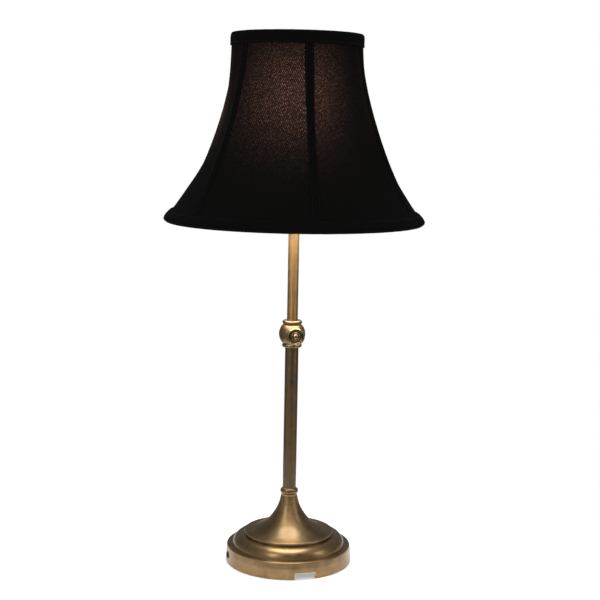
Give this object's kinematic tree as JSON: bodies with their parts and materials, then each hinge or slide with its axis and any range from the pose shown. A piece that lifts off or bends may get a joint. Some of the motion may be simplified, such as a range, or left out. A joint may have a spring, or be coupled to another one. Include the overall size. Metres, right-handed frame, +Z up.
{
  "type": "bouillotte lamp",
  "caption": "Telescoping brass table lamp with a ball clamp and knob, a stepped round base, a harp, a keyed bulb socket and a black bell shade.",
  "frame": {"origin": "on the lamp's axis at the foot of the base rim", "axes": "+Z up the column; the notch in the rim faces -Y and the cord outlet faces -X"},
  "size_m": [0.3064, 0.3064, 0.6263],
  "materials": {
    "antique_brass": "satin, brushed",
    "iron": "matt",
    "steel": "satin",
    "bright_brass": "satin",
    "felt": "matt",
    "black_rubber": "matt",
    "nylon": "matt",
    "phenolic": "matt",
    "fibre": "matt",
    "aluminium": "satin",
    "bulb_glass": "frosted",
    "stem_glass": "clear",
    "tungsten": "glowing",
    "black_glass": "gloss",
    "black_cloth": "matt twill",
    "black_tape": "matt",
    "lining": "satin weave",
    "frame_wire": "satin"
  },
  "bodies": {
    "base": {"base_shell": "antique_brass", "base_weight": "iron", "base_felt": "felt", "base_nipple": "steel", "base_washer": "steel", "base_nut": "steel", "cord_bushing": "black_rubber", "trumpet": "antique_brass", "neck_bead": "antique_brass", "tube_plug": "bright_brass", "lower_tube": "antique_brass", "lower_collar": "antique_brass", "clamp_ball": "antique_brass", "guide_bush": "nylon", "upper_collar": "antique_brass"},
    "slider": {"slider_bush": "nylon"},
    "upper": {"rod_foot": "bright_brass", "upper_rod": "antique_brass", "rod_cap": "antique_brass", "socket_nipple": "steel", "harp_saddle": "bright_brass", "harp": "bright_brass", "harp_bolt": "bright_brass", "socket_cap": "bright_brass", "set_screw": "steel", "socket_shell": "bright_brass", "socket_liner": "fibre", "socket_core": "phenolic", "terminal_screws": "bright_brass", "screw_shell": "aluminium", "centre_contact": "bright_brass"},
    "clamp_shoe": {"clamp_pad": "bright_brass"},
    "knob": {"clamp_screw": "steel", "clamp_knob": "antique_brass"},
    "key": {"switch_key": "phenolic"},
    "bulb": {"bulb_contact": "steel", "bulb_insulator": "black_glass", "bulb_cap": "aluminium", "bulb_glass": "bulb_glass", "bulb_mount": "stem_glass", "bulb_leads": "steel", "bulb_filament": "tungsten"},
    "sleeve_left": {"harp_sleeve_left": "bright_brass"},
    "sleeve_right": {"harp_sleeve_right": "bright_brass"},
    "shade": {"shade_top_ring": "frame_wire", "shade_bottom_ring": "frame_wire", "shade_ribs": "frame_wire", "spider_hub": "bright_brass", "spider_arms": "frame_wire", "shade_lining": "lining", "shade_tapes": "black_tape", "shade_trim_top": "black_tape", "shade_trim_bottom": "black_tape", "shade_panel_1": "black_cloth", "shade_panel_2": "black_cloth", "shade_panel_3": "black_cloth", "shade_panel_4": "black_cloth", "shade_panel_5": "black_cloth", "shade_panel_6": "black_cloth"},
    "finial": {"finial": "antique_brass"}
  },
  "joints": [
    {"name": "column_height", "type": "slide", "parent": "base", "child": "slider", "axis": [0, 0, 1], "range_m": [-0.095, 0.04]},
    {"name": "column_swivel", "type": "hinge", "parent": "slider", "child": "upper", "pos_m": [0, 0, 0.2], "axis": [0, 0, 1], "continuous": true},
    {"name": "clamp_feed", "type": "slide", "parent": "base", "child": "clamp_shoe", "axis": [-0.1097, -0.994, 0], "range_m": [0, 0.0016]},
    {"name": "clamp_knob_turn", "type": "hinge", "parent": "clamp_shoe", "child": "knob", "pos_m": [0, 0, 0.2775], "axis": [-0.1097, -0.994, 0], "range_deg": [0, 720]},
    {"name": "switch_key_turn", "type": "hinge", "parent": "upper", "child": "key", "pos_m": [0, 0, 0.45], "axis": [0, -1, 0], "continuous": true},
    {"name": "bulb_turn", "type": "hinge", "parent": "upper", "child": "bulb", "pos_m": [0, 0, 0.47], "axis": [0, 0, 1], "continuous": true},
    {"name": "sleeve_left_lift", "type": "slide", "parent": "upper", "child": "sleeve_left", "axis": [0, 0, 1], "range_m": [0, 0.012]},
    {"name": "sleeve_right_lift", "type": "slide", "parent": "upper", "child": "sleeve_right", "axis": [0, 0, 1], "range_m": [0, 0.012]},
    {"name": "shade_turn", "type": "hinge", "parent": "upper", "child": "shade", "pos_m": [0, 0, 0.6], "axis": [0, 0, 1], "continuous": true},
    {"name": "finial_turn", "type": "hinge", "parent": "upper", "child": "finial", "pos_m": [0, 0, 0.61], "axis": [0, 0, 1], "continuous": true}
  ],
  "couplings": [
    {"joint": "clamp_knob_turn", "follows": "clamp_feed", "rad_per_m": 7853.9}
  ]
}
